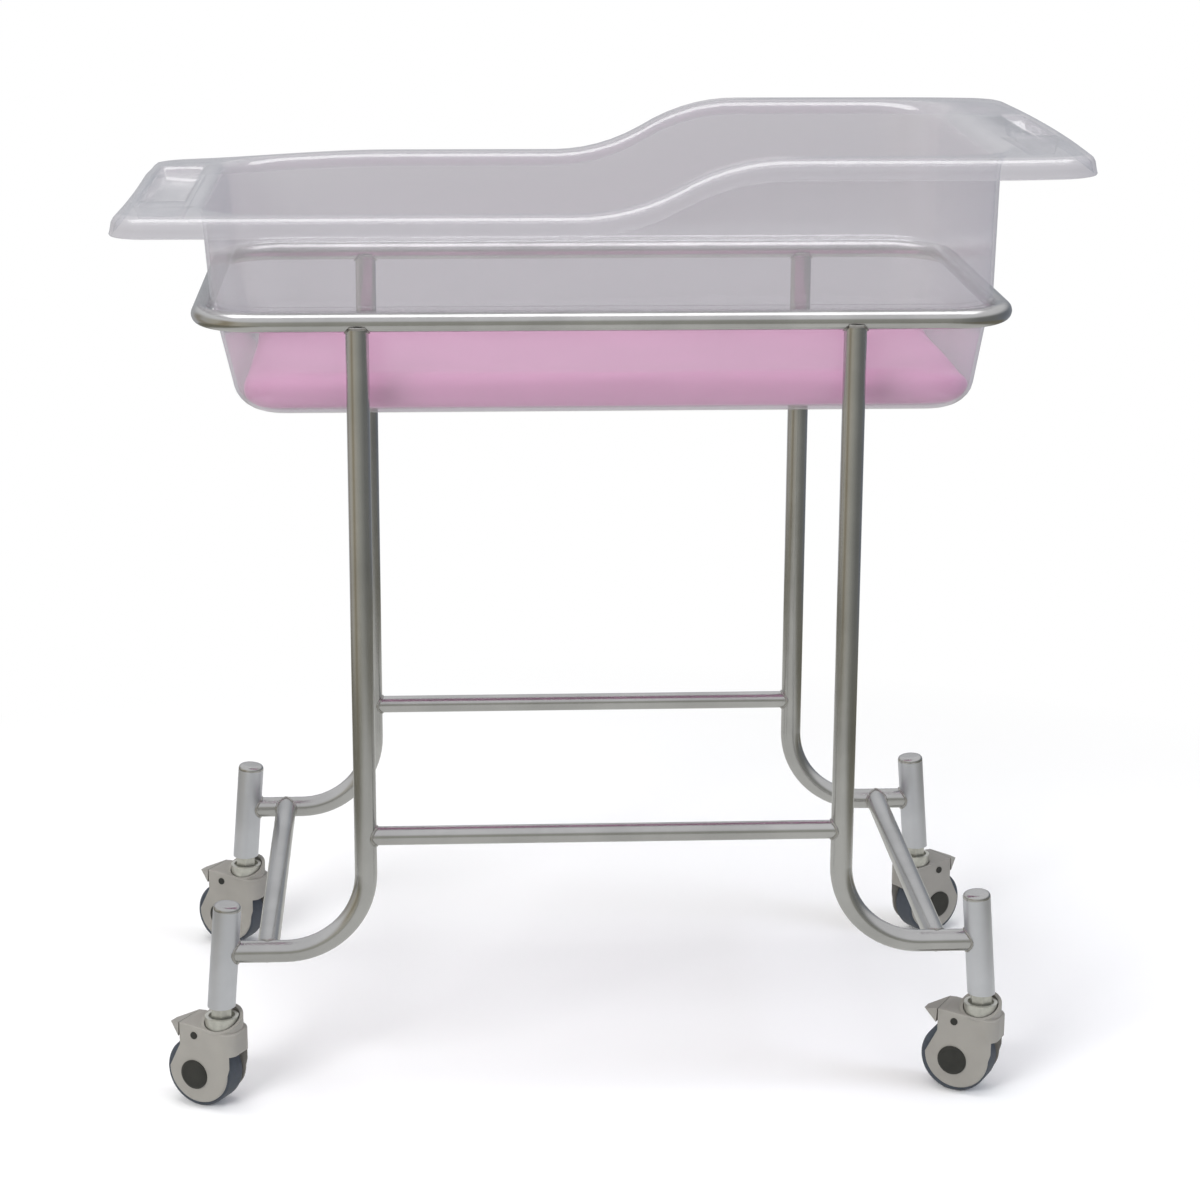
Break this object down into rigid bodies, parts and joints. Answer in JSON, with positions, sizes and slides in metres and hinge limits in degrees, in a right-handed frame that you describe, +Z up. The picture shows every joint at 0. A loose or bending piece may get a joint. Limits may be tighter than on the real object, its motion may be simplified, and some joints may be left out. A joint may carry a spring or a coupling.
{
  "type": "hospital bassinet",
  "caption": "Clear plastic newborn tub with an S-curved rim and a thin mattress, lifted out of a steel tube trolley on swivelling braked casters.",
  "frame": {"origin": "on the floor under the middle of the trolley, between the four casters", "axes": "+X towards the head end, +Y towards the left side, +Z up"},
  "size_m": [0.8, 0.474, 0.82],
  "materials": {
    "steel": "satin polished tube",
    "zinc_steel": "zinc plated, dull",
    "clear_plastic": "clear grey moulded plastic, glossy",
    "mattress_cover": "pink wipe-clean cover",
    "housing_plastic": "warm grey moulded plastic",
    "black_plastic": "black moulded plastic",
    "wheel_core": "grey moulded plastic",
    "tread_rubber": "dark blue-grey rubber"
  },
  "bodies": {
    "trolley": {"support_ring": "steel", "leg_foot_right": "steel", "leg_foot_left": "steel", "leg_head_right": "steel", "leg_head_left": "steel", "caster_post_foot_right": "steel", "caster_post_foot_left": "steel", "caster_post_head_right": "steel", "caster_post_head_left": "steel", "stretcher_right": "steel", "stretcher_left": "steel", "cross_bar_foot": "steel", "cross_bar_head": "steel", "post_caps": "steel", "post_inserts": "steel", "caster_stems": "zinc_steel", "stem_collars": "zinc_steel", "stem_nuts": "zinc_steel"},
    "tub": {"tub": "clear_plastic"},
    "mattress": {"mattress": "mattress_cover"},
    "caster_foot_right": {"caster_housing_foot_right": "housing_plastic", "axle_foot_right": "zinc_steel", "hub_caps_foot_right": "black_plastic", "pedal_pin_foot_right": "black_plastic"},
    "wheel_foot_right": {"wheel_hub_foot_right": "wheel_core", "wheel_tread_foot_right": "tread_rubber"},
    "brake_foot_right": {"brake_pedal_foot_right": "housing_plastic"},
    "caster_foot_left": {"caster_housing_foot_left": "housing_plastic", "axle_foot_left": "zinc_steel", "hub_caps_foot_left": "black_plastic", "pedal_pin_foot_left": "black_plastic"},
    "wheel_foot_left": {"wheel_hub_foot_left": "wheel_core", "wheel_tread_foot_left": "tread_rubber"},
    "brake_foot_left": {"brake_pedal_foot_left": "housing_plastic"},
    "caster_head_right": {"caster_housing_head_right": "housing_plastic", "axle_head_right": "zinc_steel", "hub_caps_head_right": "black_plastic", "pedal_pin_head_right": "black_plastic"},
    "wheel_head_right": {"wheel_hub_head_right": "wheel_core", "wheel_tread_head_right": "tread_rubber"},
    "brake_head_right": {"brake_pedal_head_right": "housing_plastic"},
    "caster_head_left": {"caster_housing_head_left": "housing_plastic", "axle_head_left": "zinc_steel", "hub_caps_head_left": "black_plastic", "pedal_pin_head_left": "black_plastic"},
    "wheel_head_left": {"wheel_hub_head_left": "wheel_core", "wheel_tread_head_left": "tread_rubber"},
    "brake_head_left": {"brake_pedal_head_left": "housing_plastic"}
  },
  "joints": [
    {"name": "tub_lift", "type": "slide", "parent": "trolley", "child": "tub", "axis": [0, 0, 1], "range_m": [0, 0.12]},
    {"name": "mattress_lift", "type": "slide", "parent": "tub", "child": "mattress", "axis": [0, 0, 1], "range_m": [0, 0.24]},
    {"name": "swivel_foot_right", "type": "hinge", "parent": "trolley", "child": "caster_foot_right", "pos_m": [-0.32853, -0.187, 0.07], "axis": [0, 0, 1], "continuous": true},
    {"name": "roll_foot_right", "type": "hinge", "parent": "caster_foot_right", "child": "wheel_foot_right", "pos_m": [-0.34455, -0.17775, 0.031], "axis": [-0.5, -0.866, 0], "continuous": true},
    {"name": "brake_foot_right", "type": "hinge", "parent": "caster_foot_right", "child": "brake_foot_right", "pos_m": [-0.34394, -0.1781, 0.0672], "axis": [-0.5, -0.866, 0], "range_deg": [0, 11]},
    {"name": "swivel_foot_left", "type": "hinge", "parent": "trolley", "child": "caster_foot_left", "pos_m": [-0.32853, 0.187, 0.07], "axis": [0, 0, 1], "continuous": true},
    {"name": "roll_foot_left", "type": "hinge", "parent": "caster_foot_left", "child": "wheel_foot_left", "pos_m": [-0.34455, 0.19625, 0.031], "axis": [-0.5, -0.866, 0], "continuous": true},
    {"name": "brake_foot_left", "type": "hinge", "parent": "caster_foot_left", "child": "brake_foot_left", "pos_m": [-0.34394, 0.1959, 0.0672], "axis": [-0.5, -0.866, 0], "range_deg": [0, 11]},
    {"name": "swivel_head_right", "type": "hinge", "parent": "trolley", "child": "caster_head_right", "pos_m": [0.32853, -0.187, 0.07], "axis": [0, 0, 1], "continuous": true},
    {"name": "roll_head_right", "type": "hinge", "parent": "caster_head_right", "child": "wheel_head_right", "pos_m": [0.31251, -0.17775, 0.031], "axis": [-0.5, -0.866, 0], "continuous": true},
    {"name": "brake_head_right", "type": "hinge", "parent": "caster_head_right", "child": "brake_head_right", "pos_m": [0.31311, -0.1781, 0.0672], "axis": [-0.5, -0.866, 0], "range_deg": [0, 11]},
    {"name": "swivel_head_left", "type": "hinge", "parent": "trolley", "child": "caster_head_left", "pos_m": [0.32853, 0.187, 0.07], "axis": [0, 0, 1], "continuous": true},
    {"name": "roll_head_left", "type": "hinge", "parent": "caster_head_left", "child": "wheel_head_left", "pos_m": [0.34439, 0.19653, 0.031], "axis": [-0.515, 0.8572, 0], "continuous": true},
    {"name": "brake_head_left", "type": "hinge", "parent": "caster_head_left", "child": "brake_head_left", "pos_m": [0.34379, 0.19617, 0.0672], "axis": [-0.515, 0.8572, 0], "range_deg": [0, 11]}
  ]
}
